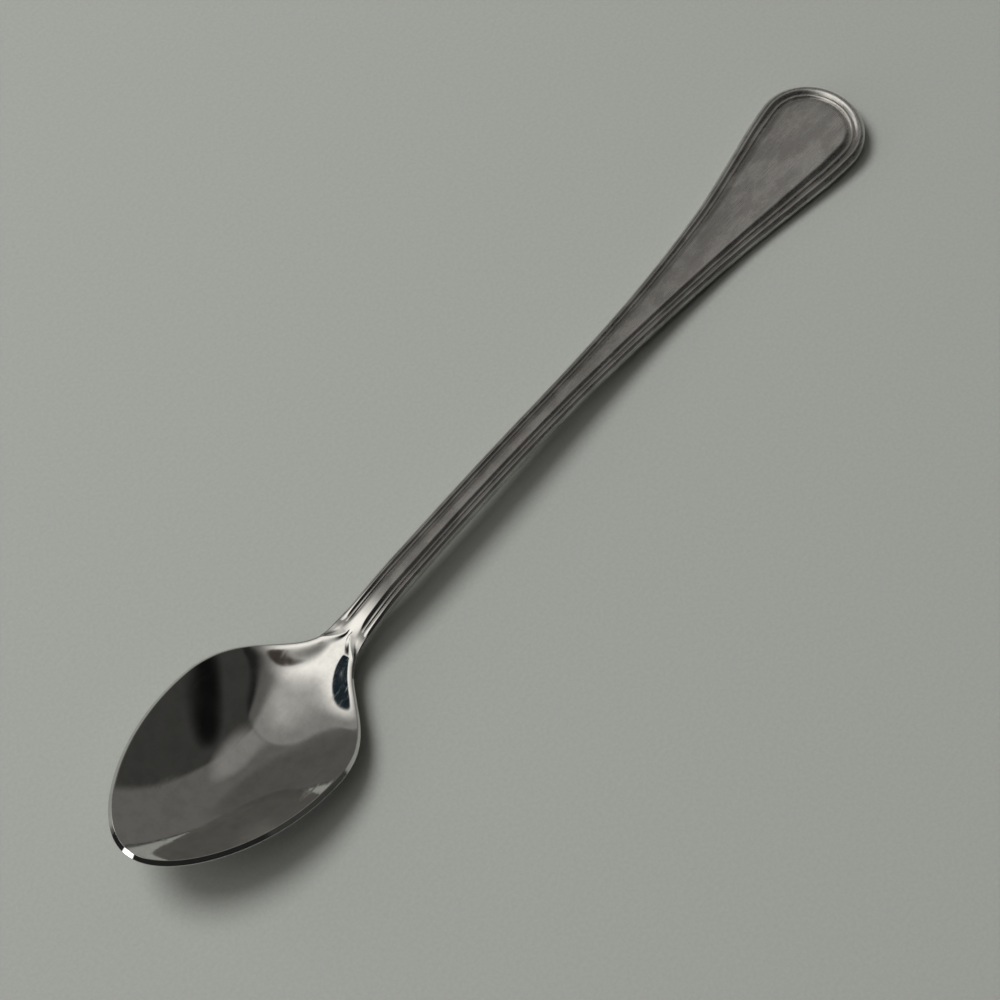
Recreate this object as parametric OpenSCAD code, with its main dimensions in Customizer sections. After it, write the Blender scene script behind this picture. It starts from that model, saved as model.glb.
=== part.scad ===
// Iced tea spoon, stamped from one piece of stainless steel.
// The spoon lies on z = 0 along x, with the tip of its bowl at the low end, and is symmetric about y = 0.
// Its middle is at x = 0. The functions below measure x from the tip, and the modules move the result.
// Each node is a region of the one piece. Neighbours share one ring of points, so they meet face to face.

/* [Overall] */
// Length from the tip of the bowl to the end of the handle
length = 190; // [170:1:210]

/* [Bowl] */
// Width of the bowl over its rim
bowl_w = 31.4; // [28:0.2:35]
// Distance from the tip to the widest place of the bowl
bowl_widest = 28; // [25:0.5:31]
// Distance from the tip to the heel, where the neck begins
bowl_len = 48; // [45:0.5:51]
// Distance from the tip to the deepest place of the hollow
bowl_deepest = 28; // [25:0.5:31]
// Depth of the hollow below the rim at its deepest place
bowl_depth = 6.85; // [5.5:0.05:8]
// Thickness of the metal under the hollow
bowl_wall = 1; // [0.8:0.1:1.5]
// Thickness of the metal at the rim, from its crest straight down
rim_t = 1; // [0.95:0.05:1.3]
// Depth of the small flats on which the bowl and the handle rest
rest_flat = 0.18; // [0.1:0.01:0.2]
// Width of the rim's slanted face, seen from above
rim_w = 0.65; // [0.5:0.05:0.9]
// Drop of the rim's slanted face, from its crest out to the edge
rim_slant = 0.75; // [0.4:0.05:0.75]
// Rounding of the rim's lower corner
rim_round = 0.1; // [0.05:0.05:0.1]
// Rise of the rim from the deepest place to the tip
tip_rise = 6.2; // [0:0.1:7]
// Dip of the rim from the deepest place to its lowest, just before the heel
heel_dip = 3.15; // [0:0.05:3.3]

/* [Neck] */
// Length of the plain neck between the heel and the first border lines
neck_len = 3.5; // [3:0.5:6]
// Width of the neck at the heel
heel_w = 7.6; // [6.4:0.1:9]
// Thickness of the neck where the border lines begin
neck_t = 3.4; // [2.8:0.1:3.8]

/* [Handle] */
// Width of the stem at its slimmest
stem_w = 5.3; // [4.8:0.1:6.5]
// Width of the handle at its widest, near the end
end_w = 19.7; // [16:0.1:22]
// Length of the round end
end_round = 9.6; // [8:0.1:12]
// Thickness of the handle at its end, over the bead
end_t = 2.8; // [2.4:0.1:3.2]
// Distance from the tip to the highest place of the handle
arch_from_tip = 78; // [74:1:90]
// Height of the handle's top at its highest place
arch_h = 7.9; // [7.5:0.1:11]
// Distance from the end of the handle back to the place where it rests
rest_from_end = 33; // [25:1:40]
// Rise of the handle from that place to its end
end_lift = 1.3; // [0:0.1:2]
// Rounding of the lower edges of the handle
edge_round = 0.9; // [0.6:0.05:1.1]
// How far the lower edges of the handle curve up from its middle
belly = 0.4; // [0:0.05:0.6]

/* [Border] */
// Width of the outer bead at the end of the handle
bead_w = 1.8; // [1.2:0.05:2]
// Height of the outer bead above the ledge, at the end of the handle
bead_h = 0.45; // [0.3:0.05:0.6]
// How much lower the bead reaches on its outer side, where it rolls over the edge
bead_roll = 0.3; // [0.2:0.05:0.6]
// Width of the inner thread at the end of the handle
thread_w = 0.9; // [0.6:0.05:1.1]
// Height of the inner thread above the ledge, at the end of the handle
thread_h = 0.3; // [0.2:0.05:0.4]
// Width of the rounded shoulder between the thread and the panel, at the end of the handle
shoulder_w = 1.7; // [1:0.05:2]
// Rise of the panel above the ledge, at the end of the handle
panel_rise = 0.7; // [0.3:0.05:0.8]
// Length over which the border lines rise out of the neck
fade_len = 4; // [3:0.5:9]

/* [Hidden] */

// Half widths, and places along the spoon
bowl_half = bowl_w / 2;
heel_half = heel_w / 2;
stem_half = stem_w / 2;
end_half = end_w / 2;
neck_end = bowl_len + neck_len;
round_start = length - end_round;
// The rim stands this high at the deepest place, so that the bowl rests on z = 0
rim_h = bowl_depth + bowl_wall - rest_flat;
heel_rim_h = rim_h - heel_dip;

// Steps of the mesh along the spoon and across it
tip_steps = 16;
heel_steps = 12;
neck_steps = 6;
stem_steps = 14;
flare_steps = 16;
round_steps = 14;
rung_steps = 9;
arc_steps = 6;
shoulder_steps = 3;

// How much of the slim stem's half width the border takes up
border_fill_share = 0.9;
// Rise of the panel's middle over its edges, as a share of its half width
crown_share = 0.02;
// How much steeper the shoulder is at the thread than on average
shoulder_curve_share = 2.6;
// The stem ends and the flared end begins at this share of the way from the neck to the round end
flare_start_share = 0.5;
// How straight the walls of the hollow are, at its sides and at the tip, where a share of 0 is a parabola
side_wall_share = 1.5;
tip_wall_share = 2.5;
// The walls of the hollow run out smoothly into the heel, from this share of the bowl's length
merge_first_share = 0.8;
// How much narrower and lower the rim's slanted face is at the heel
rim_fade_share = 0.6;
// The hollow runs out between the lines, past the heel by this share of the neck's length
hollow_end_share = 1.55;
// Half the stretch over which the direction of the edge is measured, as a share of the length
probe_share = 0.002;
// First height of the border lines, where they begin, as a share of their full height
fade_first_share = 0.15;
// How far the tip of the bowl is narrowed to a blunt point, where a share of 0 is an ellipse
tip_point_share = 0.12;

// Outline from the widest place to the heel: [share of that length, share from heel's width to bowl's]
heel_shares = [[0, 1], [0.25, 0.97], [0.45, 0.85], [0.62, 0.64], [0.77, 0.36], [0.89, 0.14], [1, 0]];
// Outline from the heel to the round end: [share of that length, share from the stem's width to the end's]
neck_shares = [[0.03, 0.3], [0.07, 0.06], [0.13, 0]];
flare_shares = [[0.31, 0], [0.5, 0.04], [0.66, 0.19], [0.81, 0.47], [0.905, 0.76], [0.966, 0.945], [1, 1]];
// Side profile: from the rim's lowest place up to the arch, down to the resting place, and up to the end
low_share = 0.92;
rise_shares = [
    [0, 0],
    [0.055, 0.04],
    [0.17, 0.235],
    [0.29, 0.49],
    [0.41, 0.765],
    [0.53, 0.94],
    [0.7, 0.99],
    [1, 1]
];
fall_shares = [[0.2, 0.09], [0.36, 0.275], [0.52, 0.51], [0.69, 0.745], [0.84, 0.9], [1, 1]];
lift_shares = [[0.4, 0.3], [1, 1]];
// The rim's thickness ends at this share of the bowl's length
thin_share = 0.7;

function mix(a, b, share) = a + (b - a) * share;
function smooth(t) = let (u = min(max(t, 0), 1)) u * u * (3 - 2 * u);
function unit(v) = v / norm(v);

// Smooth curve through the points [x, value], flat at its end and with a given slope at its start
function secant(k, i) = (k[i + 1][1] - k[i][1]) / (k[i + 1][0] - k[i][0]);
function slope_at(k, i, first) =
    i == 0 ? first :
    i == len(k) - 1 ? 0 :
    let (a = k[i][0] - k[i - 1][0], b = k[i + 1][0] - k[i][0])
    (secant(k, i - 1) * b + secant(k, i) * a) / (a + b);
function span_at(k, x) = max([for (i = [0 : len(k) - 2]) if (i == 0 || x >= k[i][0]) i]);
function curve(k, x, first = 0) =
    let (
        i = span_at(k, x),
        run = k[i + 1][0] - k[i][0],
        t = min(max((x - k[i][0]) / run, 0), 1),
        s = t * t * (3 - 2 * t),
        lead = (t * t * t - 2 * t * t + t) * slope_at(k, i, first),
        trail = (t * t * t - t * t) * slope_at(k, i + 1, first)
    )
    mix(k[i][1], k[i + 1][1], s) + (lead + trail) * run;

// Half width of the spoon past the widest place of the bowl
outline = concat(
    [for (p = heel_shares) [mix(bowl_widest, bowl_len, p[0]), mix(heel_half, bowl_half, p[1])]],
    [for (p = neck_shares) [mix(bowl_len, round_start, p[0]), mix(stem_half, heel_half, p[1])]],
    [for (p = flare_shares) [mix(bowl_len, round_start, p[0]), mix(stem_half, end_half, p[1])]]
);

// Thickness from the edge's top to the underside
function thickness(x) =
    let (thin_end = bowl_len * thin_share, grown = smooth((x - thin_end) / (neck_end - thin_end)))
    mix(mix(rim_t, neck_t, grown), end_t, max(x - neck_end, 0) / (length - neck_end));

// Height of the rim, and of the top of the bead along the handle
rim_low = bowl_len * low_share;
rest_x = length - rest_from_end;
rest_z = thickness(rest_x) - rest_flat;
side = concat(
    [[0, rim_h + tip_rise], [bowl_deepest, rim_h]],
    [for (p = rise_shares) [mix(rim_low, arch_from_tip, p[0]), mix(heel_rim_h, arch_h, p[1])]],
    [for (p = fall_shares) [mix(arch_from_tip, rest_x, p[0]), mix(arch_h, rest_z, p[1])]],
    [for (p = lift_shares) [mix(rest_x, length, p[0]), rest_z + end_lift * p[1]]]
);
function edge_z(x) = curve(side, x, secant(side, 0));

// How much of the border is there: none on the bowl, all of it along the handle
function border_share(x) = smooth((x - neck_end) / fade_len);
function lines_share(x) = mix(fade_first_share, 1, border_share(x)) * (x < neck_end ? 0 : 1);
function handle_share(x) = smooth((x - bowl_len) / neck_len);
function rim_part(x) = 1 - rim_fade_share * smooth((x - bowl_widest) / (bowl_len - bowl_widest));

// Depth of the hollow along the middle of the bowl, from the rim down towards the level of its lowest place
hollow_end = bowl_len + neck_len * hollow_end_share;
hollow_floor = rim_h - bowl_depth;
function bend(u, wall) = (sqrt(1 + pow(wall * u, 2)) - 1) / (sqrt(1 + pow(wall, 2)) - 1);
function hollow_share(x) =
    x < rim_w || x > hollow_end ? 0 :
    x < bowl_deepest ?
    1 - bend((bowl_deepest - x) / (bowl_deepest - rim_w), tip_wall_share) :
    pow(1 - pow((x - bowl_deepest) / (hollow_end - bowl_deepest), 2), 2);
function hollow(x) = (edge_z(x) - hollow_floor) * hollow_share(x);
function merge_share(x) = smooth((x / bowl_len - merge_first_share) / (1 - merge_first_share));
function dish(x, v) = mix(1 - bend(v, side_wall_share), pow(1 - v * v, 2), merge_share(x));

// Stations along the left edge: [x, y, direction of the edge in x, in y]
function side_station(x) =
    let (
        low = max(x - length * probe_share, bowl_widest),
        high = min(x + length * probe_share, round_start),
        d = unit([high - low, curve(outline, high) - curve(outline, low)])
    )
    [x, curve(outline, x), d[0], d[1]];
function run_stations(from, to, steps) = [for (i = [1 : steps]) side_station(mix(from, to, i / steps))];
flare_start = mix(neck_end, round_start, flare_start_share);
stations = concat(
    [
        for (i = [0 : tip_steps])
        let (
            a = i * 90 / tip_steps,
            full = 1 - tip_point_share * pow(cos(a), 2),
            slope = full + 2 * tip_point_share * pow(sin(a), 2),
            d = unit([bowl_widest * sin(a), bowl_half * cos(a) * slope])
        )
        [bowl_widest * (1 - cos(a)), bowl_half * sin(a) * full, d[0], d[1]]
    ],
    run_stations(bowl_widest, bowl_len, heel_steps),
    run_stations(bowl_len, neck_end, neck_steps),
    run_stations(neck_end, flare_start, stem_steps),
    run_stations(flare_start, round_start, flare_steps),
    [
        for (i = [1 : round_steps])
        let (a = i * 90 / round_steps, d = unit([end_round * cos(a), -end_half * sin(a)]))
        [round_start + end_round * sin(a), i == round_steps ? 0 : end_half * cos(a), d[0], d[1]]
    ]
);
tip_at = 0;
heel_at = tip_steps + heel_steps;
neck_at = heel_at + neck_steps;
flare_at = neck_at + stem_steps;
end_at = flare_at + flare_steps + round_steps;

// Point of a station, moved inwards from the edge
function inset(s, d) = [s[0] + s[3] * d, max(s[1] - s[2] * d, 0)];

// Size factor of the border between the slim stem and the end
border_w = bead_w + thread_w + shoulder_w;
stem_scale = border_fill_share * stem_half / border_w;
function border_scale(s) =
    s[0] > round_start ? 1 :
    mix(stem_scale, 1, min(max((s[1] - stem_half) / (end_half - stem_half), 0), 1));

// Insets and drops of four points over the edge. On the bowl they lie on the rim's slanted face. On the
// handle they are the bead's outer foot, its inner foot, the thread's inner foot and the panel's edge.
function edge_insets(s) =
    let (f = handle_share(s[0]), g = border_scale(s), r = rim_part(s[0]))
    [
        0,
        mix(rim_round * r, bead_w * g, f),
        mix((rim_w - rim_round) * r, (bead_w + thread_w) * g, f),
        mix(rim_w * r, border_w * g, f)
    ];
function edge_drops(s) =
    let (
        f = handle_share(s[0]),
        g = border_scale(s),
        ledge = bead_h * g * lines_share(s[0]),
        face = rim_slant * rim_part(s[0]),
        slant = face * (1 - f)
    )
    [
        mix(face, bead_roll * g, f) + ledge,
        slant * (1 - rim_round / rim_w) + ledge,
        slant * rim_round / rim_w + ledge,
        ledge - panel_rise * g * border_share(s[0])
    ];

// Insets and drops of all points over the edge, with the shoulder between the last two
function edge_profile(s) =
    let (insets = edge_insets(s), drops = edge_drops(s), f = handle_share(s[0]))
    concat(
        [for (j = [0 : 2]) [insets[j], drops[j]]],
        [
            for (j = [1 : shoulder_steps])
            let (t = j / shoulder_steps, up = mix(t, 1 - pow(1 - t, shoulder_curve_share), f))
            [mix(insets[2], insets[3], t), mix(drops[2], drops[3], up)]
        ]
    );

function under_z(x, v) =
    let (deep = hollow(x) * (1 + (bowl_wall - rim_t) / bowl_depth))
    max(edge_z(x) - thickness(x) - deep * dish(x, v) + belly * handle_share(x) * v * v, 0);

// Half a ring, from the middle of the underside round the edge to the middle of the top
function half_ring(s) =
    let (
        corner = mix(rim_round * rim_part(s[0]), edge_round, handle_share(s[0])),
        low = inset(s, corner),
        low_edge = under_z(low[0], 1),
        out = inset(s, 0),
        tops = [for (e = edge_profile(s)) let (p = inset(s, e[0])) [p[0], p[1], edge_z(p[0]) - e[1]]],
        q = tops[len(tops) - 1],
        deep = hollow(q[0]),
        crown = crown_share * q[1] * border_share(s[0])
    )
    concat(
        [for (j = [0 : rung_steps]) [low[0], low[1] * j / rung_steps, under_z(low[0], j / rung_steps)]],
        [
            for (a = [30, 60])
            let (p = inset(s, corner * (1 - sin(a))))
            [p[0], p[1], low_edge + corner * (1 - cos(a))]
        ],
        [[out[0], out[1], low_edge + corner]],
        tops,
        [
            for (j = [rung_steps - 1 : -1 : 0])
            let (v = j / rung_steps)
            [q[0], q[1] * v, q[2] - deep * dish(q[0], v) + crown * (1 - v * v)]
        ]
    );
// Places in half a ring: the lower corner, the panel's edge past six points and the shoulder, the middle
low_corner = rung_steps;
panel_edge = low_corner + 6 + shoulder_steps;
half_count = panel_edge + rung_steps;
ring_count = 2 * half_count;

function mirrored(p) = [p[0], -p[1], p[2]];
function ring(s) = let (h = half_ring(s)) concat(h, [for (j = [half_count - 1 : -1 : 1]) mirrored(h[j])]);

// A ring at the tip or the end is folded flat, so its left and right points are the same point
function folded(k) =
    let (j = k > half_count ? ring_count - k : k)
    min(max(j, low_corner), panel_edge);
function at(i, k, fold) = let (j = k % ring_count) i * ring_count + (fold ? folded(j) : j);
function proper(faces) = [for (f = faces) if (f[0] != f[1] && f[1] != f[2] && f[2] != f[0]) f];

// Two triangles between four corners, split along the diagonal from a to c
function two(a, b, c, d) = [[a, b, c], [a, c, d]];

// End face of a node, the same triangles on both of the nodes that meet there
function cap_half(i) =
    concat(
        [
            for (j = [0 : rung_steps - 1])
            each two(at(i, j), at(i, j + 1), at(i, half_count - j - 1), at(i, half_count - j))
        ],
        [for (j = [low_corner + 1 : panel_edge - 1]) [at(i, low_corner), at(i, j), at(i, j + 1)]]
    );
function other_side(f, i) = [for (v = [2, 1, 0]) at(i, ring_count - (f[v] - i * ring_count))];
function cap(i) = let (half = cap_half(i)) concat(half, [for (f = half) other_side(f, i)]);
function turned(faces) = [for (f = faces) [f[2], f[1], f[0]]];

// Skin over the stations from one to another, closed where it isn't folded
module skin(from, to) {
    count = to - from;
    fold_first = from == tip_at;
    fold_last = to == end_at;
    points = [for (i = [from : to]) each ring(stations[i])];
    sides = [
        for (i = [0 : count - 1])
        let (f0 = fold_first && i == 0, f1 = fold_last && i == count - 1)
        for (k = [0 : ring_count - 1])
        let (a = at(i, k, f0), b = at(i, k + 1, f0), c = at(i + 1, k + 1, f1), d = at(i + 1, k, f1))
        each (k < half_count ? two(a, d, c, b) : two(d, c, b, a))
    ];
    caps = concat(fold_first ? [] : cap(0), fold_last ? [] : turned(cap(count)));
    translate([-length / 2, 0, 0])
    polyhedron(points = points, faces = concat(proper(sides), caps), convexity = 8);
}

// Rounded line on the ledge, between two of the four points, with a given height
function line_ring(s, k, height) =
    let (
        insets = edge_insets(s),
        drops = edge_drops(s),
        rise = height * border_scale(s) * lines_share(s[0])
    )
    [
        for (j = [0 : arc_steps])
        let (
            share = j / arc_steps,
            p = inset(s, mix(insets[k], insets[k + 1], share)),
            up = j == arc_steps ? 0 : sin(180 * share)
        )
        [p[0], p[1], edge_z(p[0]) - mix(drops[k], drops[k + 1], share) + rise * up]
    ];
line_count = arc_steps + 1;
function line_at(r, j) = r * line_count + j;

// The line runs up the left side, round the end and back down the right side
module line(inner) {
    runs = end_at - neck_at;
    left = [
        for (i = [neck_at : end_at])
        inner ? line_ring(stations[i], 1, thread_h) : line_ring(stations[i], 0, bead_h + bead_roll / 2)
    ];
    right = [for (i = [runs - 1 : -1 : 0]) [for (p = left[i]) mirrored(p)]];
    last = 2 * runs;
    arcs = [
        for (r = [0 : last - 1])
        for (j = [0 : arc_steps - 1])
        each two(line_at(r, j), line_at(r, j + 1), line_at(r + 1, j + 1), line_at(r + 1, j))
    ];
    feet = [
        for (r = [0 : last - 1])
        let (
            a = line_at(r, arc_steps),
            b = line_at(r, 0),
            c = line_at(r + 1, 0),
            d = line_at(r + 1, arc_steps)
        )
        each (r < runs ? two(b, c, d, a) : two(a, b, c, d))
    ];
    first_cap = [for (j = [1 : arc_steps - 1]) [line_at(0, 0), line_at(0, j + 1), line_at(0, j)]];
    last_cap = [for (j = [1 : arc_steps - 1]) [line_at(last, 0), line_at(last, j), line_at(last, j + 1)]];
    points = [for (r = concat(left, right)) each r];
    faces = turned(concat(arcs, feet, first_cap, last_cap));
    translate([-length / 2, 0, 0]) polyhedron(points = points, faces = faces, convexity = 8);
}

module bowl() {
    color("silver") skin(tip_at, heel_at);
}

module neck() {
    color("lightgray") skin(heel_at, neck_at);
}

module stem() {
    color("darkgray") skin(neck_at, flare_at);
}

module handle_end() {
    color("gray") skin(flare_at, end_at);
}

module outer_bead() {
    color("gainsboro") line(false);
}

module inner_thread() {
    color("gainsboro") line(true);
}

bowl();
neck();
stem();
handle_end();
outer_bead();
inner_thread();
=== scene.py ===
"""Iced tea spoon of stainless steel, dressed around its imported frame.

Each CAD region of the spoon is replaced by a dense mesh of the same shape, so that its polished surfaces
reflect smoothly. The shape is worked out in millimetres, with x measured from the tip of the bowl.
"""
import math
from collections import namedtuple

import bpy
import numpy as np
from mathutils import Matrix, Vector

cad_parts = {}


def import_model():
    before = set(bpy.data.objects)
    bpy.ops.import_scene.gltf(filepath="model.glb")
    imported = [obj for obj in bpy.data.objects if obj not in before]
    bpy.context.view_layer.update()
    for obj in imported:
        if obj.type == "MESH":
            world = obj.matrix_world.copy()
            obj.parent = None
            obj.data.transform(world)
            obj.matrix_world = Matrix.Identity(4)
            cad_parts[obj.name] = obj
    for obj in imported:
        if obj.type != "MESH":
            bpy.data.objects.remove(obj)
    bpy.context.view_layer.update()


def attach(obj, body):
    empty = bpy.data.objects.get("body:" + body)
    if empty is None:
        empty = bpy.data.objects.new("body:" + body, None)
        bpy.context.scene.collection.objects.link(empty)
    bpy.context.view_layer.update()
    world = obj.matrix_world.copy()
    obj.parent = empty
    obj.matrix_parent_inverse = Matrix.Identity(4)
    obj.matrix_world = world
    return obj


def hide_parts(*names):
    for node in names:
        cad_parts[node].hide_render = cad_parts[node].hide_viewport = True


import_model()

MM = 0.001

# Sizes of the spoon, as in its part source
LENGTH = 190.0
BOWL_HALF = 15.7
BOWL_WIDEST = 28.0
BOWL_LEN = 48.0
BOWL_DEEPEST = 28.0
BOWL_DEPTH = 6.85
BOWL_WALL = 1.0
RIM_T = 1.0
REST_FLAT = 0.18
RIM_W = 0.65
RIM_SLANT = 0.75
RIM_ROUND = 0.1
RIM_FADE = 0.6
TIP_RISE = 6.2
HEEL_DIP = 3.15
NECK_LEN = 3.5
HEEL_HALF = 3.8
NECK_T = 3.4
STEM_HALF = 2.65
END_HALF = 9.85
END_ROUND = 9.6
END_T = 2.8
ARCH_FROM_TIP = 78.0
ARCH_H = 7.9
REST_FROM_END = 33.0
END_LIFT = 1.3
EDGE_ROUND = 0.9
BELLY = 0.4
BEAD_W = 1.8
BEAD_H = 0.45
BEAD_ROLL = 0.3
THREAD_W = 0.9
THREAD_H = 0.3
SHOULDER_W = 1.7
PANEL_RISE = 0.7
SHOULDER_CURVE = 2.6
CROWN = 0.02
FADE_LEN = 4.0
BORDER_FILL = 0.9
SIDE_WALL = 1.5
TIP_WALL = 2.5
TIP_POINT = 0.12
HOLLOW_PAST_HEEL = 1.55 * NECK_LEN
MERGE_FIRST = 0.8 * BOWL_LEN
THIN_END = 0.7 * BOWL_LEN
RIM_LOW = 0.92 * BOWL_LEN
FLARE_START_SHARE = 0.5

NECK_END = BOWL_LEN + NECK_LEN
ROUND_START = LENGTH - END_ROUND
FLARE_START = NECK_END + (ROUND_START - NECK_END) * FLARE_START_SHARE
RIM_H = BOWL_DEPTH + BOWL_WALL - REST_FLAT
HOLLOW_FLOOR = RIM_H - BOWL_DEPTH
HOLLOW_END = BOWL_LEN + HOLLOW_PAST_HEEL
REST_X = LENGTH - REST_FROM_END
BORDER_W = BEAD_W + THREAD_W + SHOULDER_W
STEM_SCALE = BORDER_FILL * STEM_HALF / BORDER_W

# Outline and side profile, as shares of their stretches
HEEL_SHARES = [(0, 1), (0.25, 0.97), (0.45, 0.85), (0.62, 0.64), (0.77, 0.36), (0.89, 0.14), (1, 0)]
NECK_SHARES = [(0.03, 0.3), (0.07, 0.06), (0.13, 0)]
FLARE_SHARES = [(0.31, 0), (0.5, 0.04), (0.66, 0.19), (0.81, 0.47), (0.905, 0.76), (0.966, 0.945), (1, 1)]
RISE_SHARES = [
    (0, 0),
    (0.055, 0.04),
    (0.17, 0.235),
    (0.29, 0.49),
    (0.41, 0.765),
    (0.53, 0.94),
    (0.7, 0.99),
    (1, 1),
]
FALL_SHARES = [(0.2, 0.09), (0.36, 0.275), (0.52, 0.51), (0.69, 0.745), (0.84, 0.9), (1, 1)]
LIFT_SHARES = [(0.4, 0.3), (1, 1)]

# Small softenings that only the scene has
TABLE_STEP = 0.25
SIDE_SOFT = 1.2
OUTLINE_SOFT = 0.8
SOFT_REACH = 3
EDGE_PROBE = 0.4
CREST_ROUND = 0.12
CREST_MOST = 0.8
CREST_INNER = 0.5
WALL_EDGE = 0.04
WALL_EDGE_MOST = 0.3
LINE_SINK = 0.04
SATIN_RUN = 18.0

# Steps of the mesh along the edge, from the tip to the end
TIP_STEPS = 71
HEEL_STEPS = 60
NECK_STEPS = 20
STEM_STEPS = 120
FLARE_STEPS = 120
END_STEPS = 64
TIP_AT = 0
HEEL_AT = TIP_STEPS + HEEL_STEPS
NECK_AT = HEEL_AT + NECK_STEPS
FLARE_AT = NECK_AT + STEM_STEPS
END_AT = FLARE_AT + FLARE_STEPS + END_STEPS

# Steps of the mesh round half a cross-section, from the middle of the underside to the middle of the top
UNDER_STEPS = 24
CORNER_STEPS = 6
FACE_PLACES = (0.0, 0.25, 0.5, 0.75)
FLAT_PLACES = (0.0, 0.08, 0.5, 0.92)
SHOULDER_STEPS = 14
CREST_STEPS = 6
TOP_STEPS = 32
LINE_STEPS = 16

# Camera, solved from the spoon's outline in a 1000 px frame
FOCAL_PX = 2600.0
FRAME_PX = 1000.0
SENSOR_MM = 36.0
CAM_YAW = 52.2
CAM_TILT = 30.0
CAM_ROLL = -0.3
CAM_SHIFT_PX = (17.9, -51.8)
CAM_DISTANCE = 0.4325
CAM_TARGET = (0.0, 0.0, 0.005)
CLIP_START = 0.01

# Steel. Each NOISE is a scale, detail and roughness, and each SPAN the part of a noise that counts.
NOISE_SPAN = (0.3, 0.7)
POLISHED_COLOUR = (0.68, 0.672, 0.65)
POLISHED_ROUGH = 0.05
SATIN_COLOUR = (0.73, 0.715, 0.69)
SATIN_ROUGH = 0.27
LINE_COLOUR = (0.74, 0.725, 0.7)
LINE_ROUGH = 0.3
HAZE_NOISE = (420.0, 5.0, 0.65)
HAZE_SPAN = (0.3, 0.62)
HAZE_ROUGH = (0.7, 1.5)
HAZE_DULL = 0.88
GRAIN_NOISE = (2400.0, 3.0, 0.7)
GRAIN_ROUGH = 0.04
CLOUD_NOISE = (330.0, 4.0, 0.6)
CLOUD_TURN = 0.25
WORN_SPAN = (0.36, 0.74)
WORN_ROUGH = (0.96, 1.06)
WORN_DULL = 0.7
FRESH_SPAN = (0.4, 0.62)
FRESH_CLOUD = 0.75
NECK_ROUGH = 0.25
SCRATCH_SETS = ((0.35, 900.0), (1.25, 1100.0), (2.3, 800.0))
SCRATCH_STRETCH = (0.07, 1.0, 1.0)
SCRATCH_NOISE = (3.0, 0.6)
SCRATCH_SPAN = (0.58, 0.7)
PATCH_NOISE = (130.0, 2.0, 0.5)
PATCH_SPAN = (0.3, 0.75)
POLISHED_SCRATCH = 0.12
SATIN_SCRATCH = 0.1
POLISHED_BUMP = {"Strength": 0.2, "Distance": 0.00001}
SATIN_BUMP = {"Strength": 0.15, "Distance": 0.000004}
POLISHED_RELIEF = -1.0
SATIN_RELIEF = -0.15
GRAIN_RELIEF = 0.6
GRAIN_STRETCH = (0.04, 1.0, 1.0)
CLOUD_STRETCH = (0.45, 1.0, 1.0)

# Cloth: two mottled tones, and a painted shade: a darker tone that all but the camera's rays meet further
# out, standing in for the light falling off away from the spoon
FLOOR_HALF = 2.0
CLOTH_DARK = (0.392, 0.405, 0.38)
CLOTH_LIGHT = (0.428, 0.442, 0.415)
CLOTH_FAR_PAINTED_SHADE = (0.12, 0.12, 0.115)
CLOTH_NEAR_TO_FAR = (0.17, 0.3)
CLOTH_NOISE = (1500.0, 5.0, 0.75)
CLOTH_ROUGH = 0.95
CLOTH_SHINE = 0.1

# Lamp: azimuth and elevation in degrees, distance and size in metres, power in watts
KEY_LAMP = (115, 61, 1.0, 0.5, 5.9)

# Room: its grey side ahead, its wall on the right, and what lies behind the bowl's tip
LOW_GREY = (0.15, 0.146, 0.137)
HIGH_GREY = (0.27, 0.262, 0.25)
WALL_GREY = (0.05, 0.05, 0.047)
BACK_GREY = (0.02, 0.02, 0.02)
PALE_GREY = (0.28, 0.277, 0.265)
SHADED_GREY = (0.13, 0.127, 0.12)
BRIGHT_GREY = (1.22, 1.2, 1.14)
WALL_AZIMUTH = -109
SIDE_AZIMUTH = 28

# Round zones of the room: azimuth, elevation, inner angle and outer angle in degrees, and colour
ROUND_ZONES = {
    "dim corner": (62, 20, 15, 28, (0.11, 0.107, 0.1)),
    "lit ceiling": (5, 63, 8, 25, (0.27, 0.262, 0.25)),
    "dark opening": (-50, 44, 0, 13, (0.006, 0.006, 0.006)),
    "brown spot": (-142, 73, 2, 5, (0.06, 0.05, 0.045)),
    "dark window": (106, 41, 4, 6, (0.012, 0.022, 0.03)),
    "low lamp": (163, 16, 10, 14, (2.5, 2.5, 2.45)),
}

Station = namedtuple("Station", "x y run_x run_y")


def mix(a, b, share):
    return a + (b - a) * share


def smooth(t):
    u = np.clip(t, 0.0, 1.0)
    return u * u * (3 - 2 * u)


def stretch(from_x, to_x, from_v, to_v, shares):
    return [(mix(from_x, to_x, p), mix(from_v, to_v, v)) for p, v in shares]


def curve(knots, x, first=0.0):
    """Smooth curve through the knots, flat at its end and with a given slope at its start."""
    kx = np.array([k[0] for k in knots], float)
    kv = np.array([k[1] for k in knots], float)
    run = np.diff(kx)
    sec = np.diff(kv) / run
    slope = np.zeros(len(kx))
    slope[0] = first
    slope[1:-1] = (sec[:-1] * run[1:] + sec[1:] * run[:-1]) / (run[:-1] + run[1:])
    i = np.clip(np.searchsorted(kx, x, side="right") - 1, 0, len(run) - 1)
    t = np.clip((x - kx[i]) / run[i], 0.0, 1.0)
    lead = (t ** 3 - 2 * t * t + t) * slope[i]
    trail = (t ** 3 - t * t) * slope[i + 1]
    return mix(kv[i], kv[i + 1], t * t * (3 - 2 * t)) + (lead + trail) * run[i]


def softened(values, step, width):
    """The values after a moving average with a bell-shaped weight, so that their curvature has no jumps."""
    reach = int(SOFT_REACH * width / step)
    weight = np.exp(-0.5 * (np.arange(-reach, reach + 1) * step / width) ** 2)
    padded = np.concatenate([
        2 * values[0] - values[reach:0:-1],
        values,
        2 * values[-1] - values[-2:-reach - 2:-1],
    ])
    return np.convolve(padded, weight / weight.sum(), mode="valid")


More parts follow.
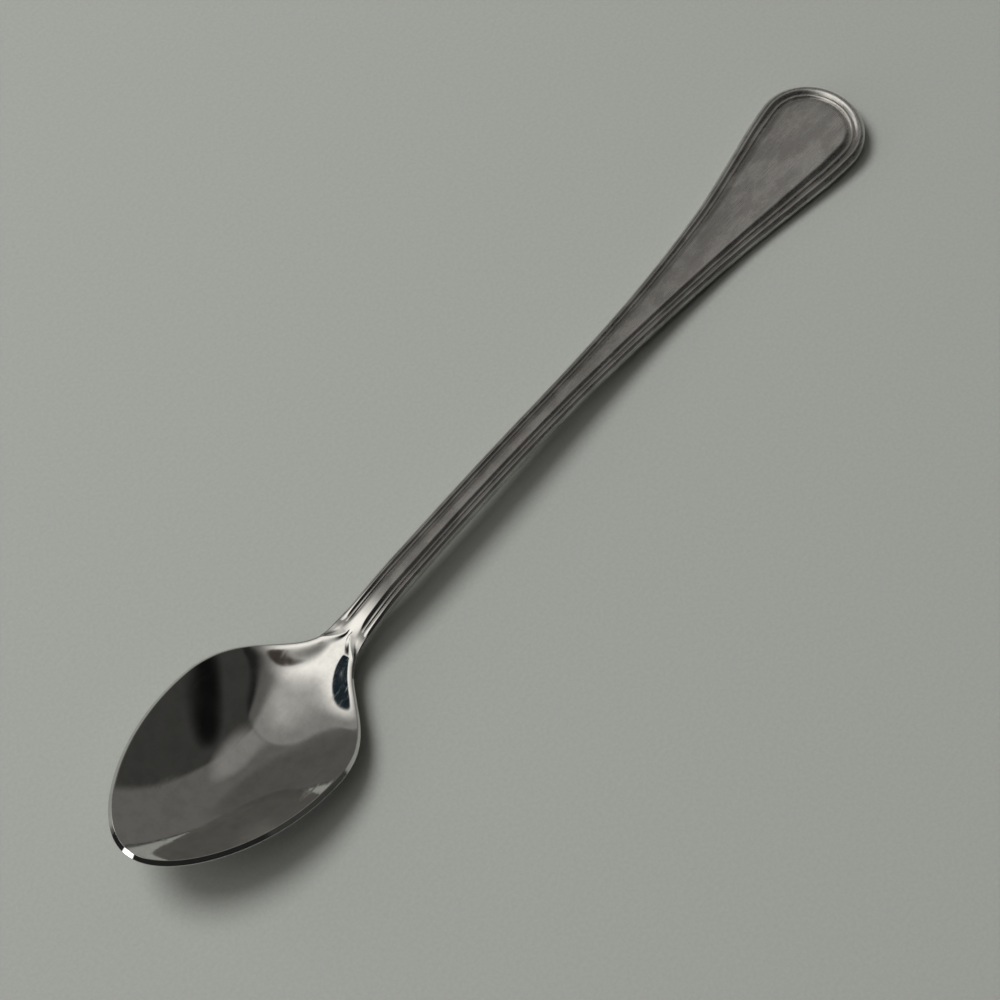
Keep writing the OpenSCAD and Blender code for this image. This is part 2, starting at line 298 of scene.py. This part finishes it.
def thickness(x):
    grown = mix(RIM_T, NECK_T, smooth((x - THIN_END) / (NECK_END - THIN_END)))
    past = np.clip((x - NECK_END) / (LENGTH - NECK_END), 0.0, 1.0)
    return mix(grown, END_T, past)


REST_Z = float(thickness(REST_X)) - REST_FLAT
SIDE = (
    [(0, RIM_H + TIP_RISE), (BOWL_DEEPEST, RIM_H)]
    + stretch(RIM_LOW, ARCH_FROM_TIP, RIM_H - HEEL_DIP, ARCH_H, RISE_SHARES)
    + stretch(ARCH_FROM_TIP, REST_X, ARCH_H, REST_Z, FALL_SHARES)
    + stretch(REST_X, LENGTH, REST_Z, REST_Z + END_LIFT, LIFT_SHARES)
)
OUTLINE = (
    stretch(BOWL_WIDEST, BOWL_LEN, HEEL_HALF, BOWL_HALF, HEEL_SHARES)
    + stretch(BOWL_LEN, ROUND_START, STEM_HALF, HEEL_HALF, NECK_SHARES)
    + stretch(BOWL_LEN, ROUND_START, STEM_HALF, END_HALF, FLARE_SHARES)
)
SIDE_FIRST = (SIDE[1][1] - SIDE[0][1]) / BOWL_DEEPEST
SIDE_X = np.arange(0.0, LENGTH + TABLE_STEP / 2, TABLE_STEP)
SIDE_Z = softened(curve(SIDE, SIDE_X, SIDE_FIRST), TABLE_STEP, SIDE_SOFT)
OUT_X = np.arange(BOWL_WIDEST, ROUND_START + TABLE_STEP / 2, TABLE_STEP)
OUT_Y = softened(curve(OUTLINE, OUT_X), TABLE_STEP, OUTLINE_SOFT)
OUT_Y += np.interp(OUT_X, [BOWL_WIDEST, ROUND_START], [BOWL_HALF - OUT_Y[0], END_HALF - OUT_Y[-1]])


def edge_z(x):
    """Height of the upper edge."""
    return np.interp(x, SIDE_X, SIDE_Z)


def side_y(x):
    """Half width between the widest place of the bowl and the round end, and a little into that end."""
    past = np.clip((x - ROUND_START) / END_ROUND, 0, 1)
    return np.where(x > ROUND_START, END_HALF * np.sqrt(1 - past ** 2), np.interp(x, OUT_X, OUT_Y))


def border_share(x):
    """0 up to the neck's end, and 1 where the handle's border has its full height."""
    return smooth((x - NECK_END) / FADE_LEN)


def handle_share(x):
    """0 in the bowl and 1 from the neck's end on."""
    return smooth((x - BOWL_LEN) / NECK_LEN)


def lines_share(x):
    return float(border_share(x)) if x >= NECK_END else 0.0


def rim_part(x):
    """Share of the rim's slanted face that is left at x: it fades towards the heel."""
    return 1 - RIM_FADE * float(smooth((x - BOWL_WIDEST) / (BOWL_LEN - BOWL_WIDEST)))


def border_scale(s):
    """Size of the border at a station: it shrinks with the handle's width."""
    if s.x > ROUND_START:
        return 1.0
    return mix(STEM_SCALE, 1.0, min(max((s.y - STEM_HALF) / (END_HALF - STEM_HALF), 0.0), 1.0))


def bend(u, wall):
    """Curve from 0 in the middle to 1 at the rim, straighter towards the rim for a greater wall value."""
    return (np.sqrt(1 + (wall * u) ** 2) - 1) / (math.sqrt(1 + wall ** 2) - 1)


def hollow(x):
    """Depth of the bowl along its middle."""
    tipward = 1 - bend(np.clip((BOWL_DEEPEST - x) / (BOWL_DEEPEST - RIM_W), 0, 1), TIP_WALL)
    heelward = (1 - np.clip((x - BOWL_DEEPEST) / (HOLLOW_END - BOWL_DEEPEST), 0, 1) ** 2) ** 2
    share = np.where(x < BOWL_DEEPEST, tipward, heelward)
    return (edge_z(x) - HOLLOW_FLOOR) * np.where((x < RIM_W) | (x > HOLLOW_END), 0.0, share)


def dish(x, v):
    """Share of the depth at x that is left at v, which is 0 in the middle and 1 at the rim."""
    merge = smooth((x - MERGE_FIRST) / (BOWL_LEN - MERGE_FIRST))
    return mix(1 - bend(v, SIDE_WALL), (1 - v * v) ** 2, merge)


def under_z(x, v):
    """Height of the underside."""
    deep = float(hollow(x)) * (1 + (BOWL_WALL - RIM_T) / BOWL_DEPTH)
    belly = BELLY * float(handle_share(x)) * v * v
    return max(float(edge_z(x)) - float(thickness(x)) - deep * float(dish(x, v)) + belly, 0.0)


def stations():
    """Places along the left edge, with the direction of the edge, from the tip to the end."""
    a = np.linspace(0, math.pi / 2, TIP_STEPS + 1)
    full = 1 - TIP_POINT * np.cos(a) ** 2
    tip = np.stack([
        BOWL_WIDEST * (1 - np.cos(a)),
        BOWL_HALF * np.sin(a) * full,
        BOWL_WIDEST * np.sin(a),
        BOWL_HALF * np.cos(a) * (full + 2 * TIP_POINT * np.sin(a) ** 2),
    ], 1)
    x = np.concatenate([
        np.linspace(BOWL_WIDEST, BOWL_LEN, HEEL_STEPS + 1)[1:],
        np.linspace(BOWL_LEN, NECK_END, NECK_STEPS + 1)[1:],
        np.linspace(NECK_END, FLARE_START, STEM_STEPS + 1)[1:],
        np.linspace(FLARE_START, ROUND_START, FLARE_STEPS + 1)[1:],
    ])
    low = np.maximum(x - EDGE_PROBE, BOWL_WIDEST)
    high = x + EDGE_PROBE
    sides = np.stack([x, side_y(x), high - low, side_y(high) - side_y(low)], 1)
    sides[-1, 3] = 0.0
    b = np.linspace(0, math.pi / 2, END_STEPS + 1)[1:]
    end = np.stack([
        ROUND_START + END_ROUND * np.sin(b),
        END_HALF * np.cos(b),
        END_ROUND * np.cos(b),
        -END_HALF * np.sin(b),
    ], 1)
    rows = np.concatenate([tip, sides, end])
    rows[:, 2:] /= np.linalg.norm(rows[:, 2:], axis=1)[:, None]
    return [Station(*row) for row in rows.tolist()]


def inset(s, d):
    """The station's edge point moved inwards by d."""
    return s.x + s.run_y * d, max(s.y - s.run_x * d, 0.0)


def edge_points(s):
    """Insets and drops of the four points over the edge."""
    f = float(handle_share(s.x))
    g = border_scale(s)
    r = rim_part(s.x)
    insets = [
        0.0,
        mix(RIM_ROUND * r, BEAD_W * g, f),
        mix((RIM_W - RIM_ROUND) * r, (BEAD_W + THREAD_W) * g, f),
        mix(RIM_W * r, BORDER_W * g, f),
    ]
    ledge = BEAD_H * g * lines_share(s.x)
    slant = RIM_SLANT * r * (1 - f)
    drops = [
        mix(RIM_SLANT * r, BEAD_ROLL * g, f) + ledge,
        slant * (1 - RIM_ROUND / RIM_W) + ledge,
        slant * RIM_ROUND / RIM_W + ledge,
        ledge - PANEL_RISE * g * float(border_share(s.x)),
    ]
    return insets, drops


def edge_profile(s):
    """Insets and drops of the points over the edge, from its outside almost to the dish or the panel."""
    insets, drops = edge_points(s)
    f = float(handle_share(s.x))
    out = [(mix(insets[0], insets[1], t), mix(drops[0], drops[1], t)) for t in FACE_PLACES]
    out += [(mix(insets[1], insets[2], t), mix(drops[1], drops[2], t)) for t in FLAT_PLACES]
    last = 1 - min(CREST_ROUND / (insets[3] - insets[2]), CREST_MOST)
    for t in np.linspace(0.0, last, SHOULDER_STEPS):
        up = mix(t, 1 - (1 - t) ** SHOULDER_CURVE, f)
        out.append((mix(insets[2], insets[3], t), mix(drops[2], drops[3], up)))
    return out


def under_points(s):
    """From the middle of the underside, round the lower corner, to the foot of the side wall."""
    corner = mix(RIM_ROUND * rim_part(s.x), EDGE_ROUND, float(handle_share(s.x)))
    x, y = inset(s, corner)
    low_edge = under_z(x, 1.0)
    points = []
    for j in range(UNDER_STEPS + 1):
        v = j / UNDER_STEPS
        points.append((x, y * v, under_z(x, v)))
    for j in range(1, CORNER_STEPS + 1):
        a = math.pi / 2 * j / CORNER_STEPS
        p = inset(s, corner * (1 - math.sin(a)))
        points.append((p[0], p[1], low_edge + corner * (1 - math.cos(a))))
    return points


def wall_points(s, low, high):
    """Two points just inside the ends of the side wall, which keep its shading flat."""
    near = min(WALL_EDGE, WALL_EDGE_MOST * (high - low))
    return [(s.x, s.y, low + near), (s.x, s.y, high - near)]


def top_points(s, outer):
    """From the last point over the edge, round the crest, to the middle of the dish or the panel."""
    insets, drops = edge_points(s)
    x, y = inset(s, insets[3])
    crest_z = float(edge_z(x)) - drops[3]
    deep = float(hollow(x))
    crown = CROWN * y * float(border_share(s.x))

    def surface(v):
        return x, y * v, crest_z - deep * float(dish(x, v)) + crown * (1 - v * v)

    v_last = max(1 - CREST_ROUND / max(y, CREST_ROUND), CREST_INNER)
    first = np.array(outer)
    peak = np.array([x, y, crest_z])
    last = np.array(surface(v_last))
    points = []
    for t in np.linspace(0.0, 1.0, CREST_STEPS + 1)[1:]:
        points.append(tuple((1 - t) ** 2 * first + 2 * t * (1 - t) * peak + t * t * last))
    for j in range(TOP_STEPS - 1, -1, -1):
        points.append(surface(v_last * math.sin(math.pi / 2 * j / TOP_STEPS)))
    return points


def half_ring(s):
    """Half a cross-section, from the middle of the underside round the edge to the middle of the top."""
    profile = edge_profile(s)
    points = under_points(s)
    points += wall_points(s, points[-1][2], float(edge_z(s.x)) - profile[0][1])
    for d, drop in profile:
        x, y = inset(s, d)
        points.append((x, y, float(edge_z(x)) - drop))
    return points + top_points(s, points[-1])


def rings(places):
    """Whole cross-sections, one for each station."""
    out = []
    for s in places:
        half = half_ring(s)
        out.append(half + [(x, -y, z) for x, y, z in half[-2:0:-1]])
    return np.array(out)


def grid_faces(rows, columns):
    """Faces between neighbouring rows of points, each row a closed loop."""
    faces = []
    for r in range(rows - 1):
        for c in range(columns):
            d = (c + 1) % columns
            faces.append((r * columns + c, (r + 1) * columns + c, (r + 1) * columns + d, r * columns + d))
    return faces


def world(points):
    """Millimetres from the tip to metres in the shared frame."""
    return (np.array(points, float) - np.array([LENGTH / 2, 0.0, 0.0])) * MM


def add_mesh(name, points, faces, material):
    mesh = bpy.data.meshes.new(name)
    mesh.from_pydata([tuple(p) for p in points], [], faces)
    mesh.polygons.foreach_set("use_smooth", [True] * len(mesh.polygons))
    mesh.materials.append(material)
    mesh.update()
    piece = bpy.data.objects.new(name, mesh)
    bpy.context.scene.collection.objects.link(piece)
    return piece


def skin_normals(all_rings):
    """Normals of the whole skin, so that its pieces shade as one surface where they meet."""
    rows, columns = all_rings.shape[:2]
    mesh = bpy.data.meshes.new("whole")
    mesh.from_pydata(world(all_rings.reshape(-1, 3)).tolist(), [], grid_faces(rows, columns))
    mesh.update()
    normals = np.zeros(rows * columns * 3)
    mesh.vertex_normals.foreach_get("vector", normals)
    bpy.data.meshes.remove(mesh)
    return normals.reshape(-1, 3)


def skin_piece(name, all_rings, normals, first, last, material):
    """The skin between two stations, closed by a flat face where it meets its neighbour."""
    part = all_rings[first:last + 1]
    rows, columns = part.shape[:2]
    faces = grid_faces(rows, columns)
    if first > 0:
        faces.append(tuple(range(columns)))
    if last < len(all_rings) - 1:
        faces.append(tuple(reversed(range((rows - 1) * columns, rows * columns))))
    piece = add_mesh(name, world(part.reshape(-1, 3)), faces, material)
    piece.data.normals_split_custom_set_from_vertices(normals[first * columns:(last + 1) * columns].tolist())
    return piece


def line_piece(name, places, k, height, material):
    """Rounded line on the ledge between the edge points k and k + 1, from the neck round the end and back."""
    left = []
    for s in places:
        insets, drops = edge_points(s)
        up = lines_share(s.x)
        rise = height * border_scale(s) * up
        row = []
        for j in range(LINE_STEPS + 1):
            share = (1 - math.cos(math.pi * j / LINE_STEPS)) / 2
            x, y = inset(s, mix(insets[k], insets[k + 1], share))
            base = float(edge_z(x)) - mix(drops[k], drops[k + 1], share) - LINE_SINK * (1 - up)
            row.append((x, y, base + rise * math.sin(math.pi * share)))
        left.append(row)
    right = [[(x, -y, z) for x, y, z in row] for row in left[-2::-1]]
    rows = left + right
    columns = LINE_STEPS + 1
    faces = [(a, d, c, b) for a, b, c, d in grid_faces(len(rows), columns)]
    rounded = [i % columns < LINE_STEPS for i in range(len(faces))] + [False, False]
    faces.append(tuple(reversed(range(columns))))
    faces.append(tuple(range((len(rows) - 1) * columns, len(rows) * columns)))
    piece = add_mesh(name, world(np.array(rows).reshape(-1, 3)), faces, material)
    piece.data.polygons.foreach_set("use_smooth", rounded)
    return piece


class Nodes:
    """Short calls for wiring the nodes of one material or world."""

    def __init__(self, tree):
        self.tree = tree

    def add(self, kind, inputs=None, **settings):
        """New node; an input is a number, a colour, a direction or another node's output."""
        n = self.tree.nodes.new(kind)
        for k, v in settings.items():
            setattr(n, k, v)
        for k, v in (inputs or {}).items():
            if isinstance(v, bpy.types.NodeSocket):
                self.tree.links.new(v, n.inputs[k])
            else:
                n.inputs[k].default_value = v
        return n

    def join(self, value, shader, socket):
        self.tree.links.new(value, shader.inputs[socket])

    def math(self, operation, a, b):
        return self.add("ShaderNodeMath", {0: a, 1: b}, operation=operation).outputs[0]

    def ramp(self, value, low, high, to_low=0.0, to_high=1.0):
        """Smooth step from one value to another while the input goes from low to high."""
        inputs = {0: value, 1: low, 2: high, 3: to_low, 4: to_high}
        return self.add("ShaderNodeMapRange", inputs, interpolation_type="SMOOTHSTEP").outputs[0]

    def noise(self, at, scale, detail, roughness):
        inputs = {"Vector": at, "Scale": scale, "Detail": detail, "Roughness": roughness}
        return self.add("ShaderNodeTexNoise", inputs).outputs[0]

    def placed(self, at, turn, stretch_by):
        inputs = {"Vector": at, "Rotation": (0, 0, turn), "Scale": stretch_by}
        return self.add("ShaderNodeMapping", inputs).outputs[0]

    def along(self, direction, axis):
        inputs = {0: direction, 1: axis}
        return self.add("ShaderNodeVectorMath", inputs, operation="DOT_PRODUCT").outputs["Value"]

    def blend(self, share, a, b):
        return self.add("ShaderNodeMix", {0: share, 6: a, 7: b}, data_type="RGBA").outputs[2]


def opaque(colour, share=1.0):
    """The colour, or a darker share of it, with the fourth value that a colour socket takes."""
    return (*(c * share for c in colour), 1)


def new_material(name):
    """A material, its nodes, its shader and the place on the piece in metres."""
    material = bpy.data.materials.new(name)
    material.use_nodes = True
    n = Nodes(material.node_tree)
    shader = material.node_tree.nodes["Principled BSDF"]
    at = n.add("ShaderNodeTexCoord").outputs["Object"]
    return material, n, shader, at


def scratches(n, at):
    """Fine straight scratches in three directions, in patches."""
    marks = None
    for turn, scale in SCRATCH_SETS:
        streak = n.noise(n.placed(at, turn, SCRATCH_STRETCH), scale, *SCRATCH_NOISE)
        line = n.ramp(streak, *SCRATCH_SPAN)
        marks = line if marks is None else n.math("MAXIMUM", marks, line)
    patches = n.ramp(n.noise(at, *PATCH_NOISE), *PATCH_SPAN)
    return n.math("MULTIPLY", marks, patches)


def polished_steel(name, colour, rough):
    """Mirror polished steel with fine wear scratches and a faint haze."""
    material, n, shader, at = new_material(name)
    shader.inputs["Metallic"].default_value = 1.0
    scratch = scratches(n, at)
    haze = n.noise(at, *HAZE_NOISE)
    hazy_rough = n.ramp(haze, *NOISE_SPAN, *(rough * share for share in HAZE_ROUGH))
    scratch_rough = n.math("MULTIPLY", scratch, POLISHED_SCRATCH)
    n.join(n.math("ADD", hazy_rough, scratch_rough), shader, "Roughness")
    clear = n.ramp(haze, *HAZE_SPAN)
    n.join(n.blend(clear, opaque(colour, HAZE_DULL), opaque(colour)), shader, "Base Color")
    height = n.math("MULTIPLY", scratch, POLISHED_RELIEF)
    bump = n.add("ShaderNodeBump", {**POLISHED_BUMP, "Height": height})
    n.join(bump.outputs[0], shader, "Normal")
    return material


def satin_steel(name, colour, rough):
    """Satin steel with its grain along the handle and cloudy wear, still polished next to the neck."""
    material, n, shader, at = new_material(name)
    shader.inputs["Metallic"].default_value = 1.0
    grain = n.noise(n.placed(at, 0.0, GRAIN_STRETCH), *GRAIN_NOISE)
    cloud = n.noise(n.placed(at, CLOUD_TURN, CLOUD_STRETCH), *CLOUD_NOISE)
    scratch = scratches(n, at)
    neck_x = (NECK_END - LENGTH / 2) * MM
    x = n.add("ShaderNodeSeparateXYZ", {0: at}).outputs["X"]
    past_neck = n.ramp(x, neck_x, neck_x + SATIN_RUN * MM)

    worn = n.ramp(cloud, *WORN_SPAN)
    worn_rough = n.ramp(worn, 0.0, 1.0, *(rough * share for share in WORN_ROUGH))
    uneven = n.math("ADD", worn_rough, n.ramp(grain, *NOISE_SPAN, -GRAIN_ROUGH, GRAIN_ROUGH))
    full_rough = n.math("ADD", uneven, n.math("MULTIPLY", scratch, SATIN_SCRATCH))
    turned_satin = n.ramp(past_neck, 0.0, 1.0, NECK_ROUGH, 1.0)
    n.join(n.math("MULTIPLY", full_rough, turned_satin), shader, "Roughness")

    fresh = n.math("MULTIPLY", n.ramp(cloud, *FRESH_SPAN), FRESH_CLOUD)
    fresh = n.math("ADD", fresh, n.ramp(grain, *NOISE_SPAN, 0.0, 1.0 - FRESH_CLOUD))
    fresh = n.math("MAXIMUM", fresh, n.math("SUBTRACT", 1.0, past_neck))
    n.join(n.blend(fresh, opaque(colour, WORN_DULL), opaque(colour)), shader, "Base Color")

    grain_height = n.math("MULTIPLY", grain, GRAIN_RELIEF)
    height = n.math("ADD", grain_height, n.math("MULTIPLY", scratch, SATIN_RELIEF))
    bump = n.add("ShaderNodeBump", {**SATIN_BUMP, "Height": height})
    n.join(bump.outputs[0], shader, "Normal")
    return material


def cloth():
    """Mottled cloth, pale to the camera all over; other rays find it darker away from the spoon, a painted
    shade for the light that falls off there.
    """
    material, n, shader, at = new_material("cloth")
    mottle = n.ramp(n.noise(at, *CLOTH_NOISE), *NOISE_SPAN)
    weave = n.blend(mottle, opaque(CLOTH_DARK), opaque(CLOTH_LIGHT))
    away = n.add("ShaderNodeVectorMath", {0: at}, operation="LENGTH").outputs["Value"]
    unseen = n.math("SUBTRACT", 1.0, n.add("ShaderNodeLightPath").outputs["Is Camera Ray"])
    # Painted shade: away from the spoon the cloth's colour turns darker for all but camera rays
    far_painted_shade = n.math("MULTIPLY", n.ramp(away, *CLOTH_NEAR_TO_FAR), unseen)
    n.join(n.blend(far_painted_shade, weave, opaque(CLOTH_FAR_PAINTED_SHADE)), shader, "Base Color")
    shader.inputs["Roughness"].default_value = CLOTH_ROUGH
    shader.inputs["Specular IOR Level"].default_value = CLOTH_SHINE
    return material


def toward(azimuth, elevation):
    """Unit direction from the spoon, with its angles in degrees."""
    a = math.radians(azimuth)
    e = math.radians(elevation)
    return (math.cos(a) * math.cos(e), math.sin(a) * math.cos(e), math.sin(e))


def lamp(name, azimuth, elevation, distance, size, watts):
    """Round soft lamp that shines at the spoon's middle and that the steel doesn't mirror."""
    data = bpy.data.lights.new(name, "AREA")
    data.shape = "DISK"
    data.energy = watts
    data.size = size
    light = bpy.data.objects.new(name, data)
    light.location = Vector(toward(azimuth, elevation)) * distance
    light.rotation_euler = (-light.location).to_track_quat("-Z", "Y").to_euler()
    light.visible_glossy = False
    bpy.context.scene.collection.objects.link(light)


def room():
    """Plain room in light and dark zones: bright behind the bowl's tip, grey ahead, dark on the right."""
    sky = bpy.data.worlds.new("room")
    bpy.context.scene.world = sky
    sky.use_nodes = True
    n = Nodes(sky.node_tree)
    d = n.add("ShaderNodeTexCoord").outputs["Generated"]

    def round_zone(name):
        azimuth, elevation, inner, outer, colour = ROUND_ZONES[name]
        edge, full = math.cos(math.radians(outer)), math.cos(math.radians(inner))
        return n.ramp(n.along(d, toward(azimuth, elevation)), edge, full), opaque(colour)

    ahead = n.along(d, toward(0, 0))
    right = n.along(d, toward(-90, 0))
    up = n.along(d, (0.0, 0.0, 1.0))
    wall = n.ramp(n.along(d, toward(WALL_AZIMUTH, 0)), -0.02, 0.05)
    behind = n.ramp(ahead, 0.13, 0.08)

    high = n.ramp(up, 0.6, 0.69)
    side = n.math("MULTIPLY", n.ramp(n.along(d, toward(SIDE_AZIMUTH, 0)), 0.0, 0.08), n.ramp(up, 0.1, 0.2))
    pale = n.math("MULTIPLY", behind, n.math("MAXIMUM", high, side))
    pale = n.math("MULTIPLY", pale, n.ramp(right, 0.26, 0.2))
    pale_grey = n.blend(n.ramp(right, 0.02, 0.14), opaque(PALE_GREY), opaque(SHADED_GREY))
    bright = n.math("MULTIPLY", n.ramp(ahead, 0.03, -0.2), n.ramp(right, 0.25, 0.0))
    bright = n.math("MULTIPLY", pale, bright)

    layers = [
        round_zone("dim corner"),
        (wall, opaque(WALL_GREY)),
        round_zone("lit ceiling"),
        round_zone("dark opening"),
        (behind, opaque(BACK_GREY)),
        (pale, pale_grey),
        (bright, opaque(BRIGHT_GREY)),
        round_zone("brown spot"),
        round_zone("dark window"),
        round_zone("low lamp"),
    ]
    colour = n.blend(n.ramp(up, 0.85, 1.0), opaque(LOW_GREY), opaque(HIGH_GREY))
    for share, layer_colour in layers:
        colour = n.blend(share, colour, layer_colour)
    back = sky.node_tree.nodes["Background"]
    n.join(colour, back, "Color")
    back.inputs["Strength"].default_value = 1.0


def camera():
    """Camera at the photograph's viewing angle and framing."""
    yaw, tilt, roll = (math.radians(v) for v in (CAM_YAW, CAM_TILT, CAM_ROLL))
    yawed = np.array([[math.cos(yaw), -math.sin(yaw), 0], [math.sin(yaw), math.cos(yaw), 0], [0, 0, 1]])
    tilted = np.array([[1, 0, 0], [0, math.cos(tilt), math.sin(tilt)], [0, -math.sin(tilt), math.cos(tilt)]])
    rolled = np.array([[math.cos(roll), -math.sin(roll), 0], [math.sin(roll), math.cos(roll), 0], [0, 0, 1]])
    turn = (rolled @ tilted @ yawed).T
    data = bpy.data.cameras.new("camera")
    data.sensor_width = SENSOR_MM
    data.sensor_fit = "HORIZONTAL"
    data.lens = SENSOR_MM * FOCAL_PX / FRAME_PX
    data.shift_x = -CAM_SHIFT_PX[0] / FRAME_PX
    data.shift_y = CAM_SHIFT_PX[1] / FRAME_PX
    data.clip_start = CLIP_START
    cam = bpy.data.objects.new("camera", data)
    place = np.array(CAM_TARGET) + turn @ np.array([0, 0, CAM_DISTANCE])
    cam.matrix_world = Matrix.Translation(Vector(place)) @ Matrix(turn.tolist()).to_4x4()
    bpy.context.scene.collection.objects.link(cam)
    bpy.context.scene.camera = cam


bpy.context.scene.view_settings.view_transform = "Standard"

polished = polished_steel("polished_steel", POLISHED_COLOUR, POLISHED_ROUGH)
lines = satin_steel("line_steel", LINE_COLOUR, LINE_ROUGH)
satin = satin_steel("satin_steel", SATIN_COLOUR, SATIN_ROUGH)

edge = stations()
skin = rings(edge)
normals = skin_normals(skin)
handle = edge[NECK_AT:]
pieces = {
    "bowl": skin_piece("polished_bowl", skin, normals, TIP_AT, HEEL_AT, polished),
    "neck": skin_piece("polished_neck", skin, normals, HEEL_AT, NECK_AT, polished),
    "stem": skin_piece("satin_stem", skin, normals, NECK_AT, FLARE_AT, satin),
    "handle_end": skin_piece("satin_handle_end", skin, normals, FLARE_AT, END_AT, satin),
    "outer_bead": line_piece("edge_bead", handle, 0, BEAD_H + BEAD_ROLL / 2, lines),
    "inner_thread": line_piece("edge_thread", handle, 1, THREAD_H, lines),
}
for node, piece in pieces.items():
    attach(piece, "root")
    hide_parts(node)

corners = [(x * FLOOR_HALF, y * FLOOR_HALF, 0) for x, y in ((-1, -1), (1, -1), (1, 1), (-1, 1))]
floor = add_mesh("floor", corners, [(0, 1, 2, 3)], cloth())

lamp("key", *KEY_LAMP)
room()
camera()
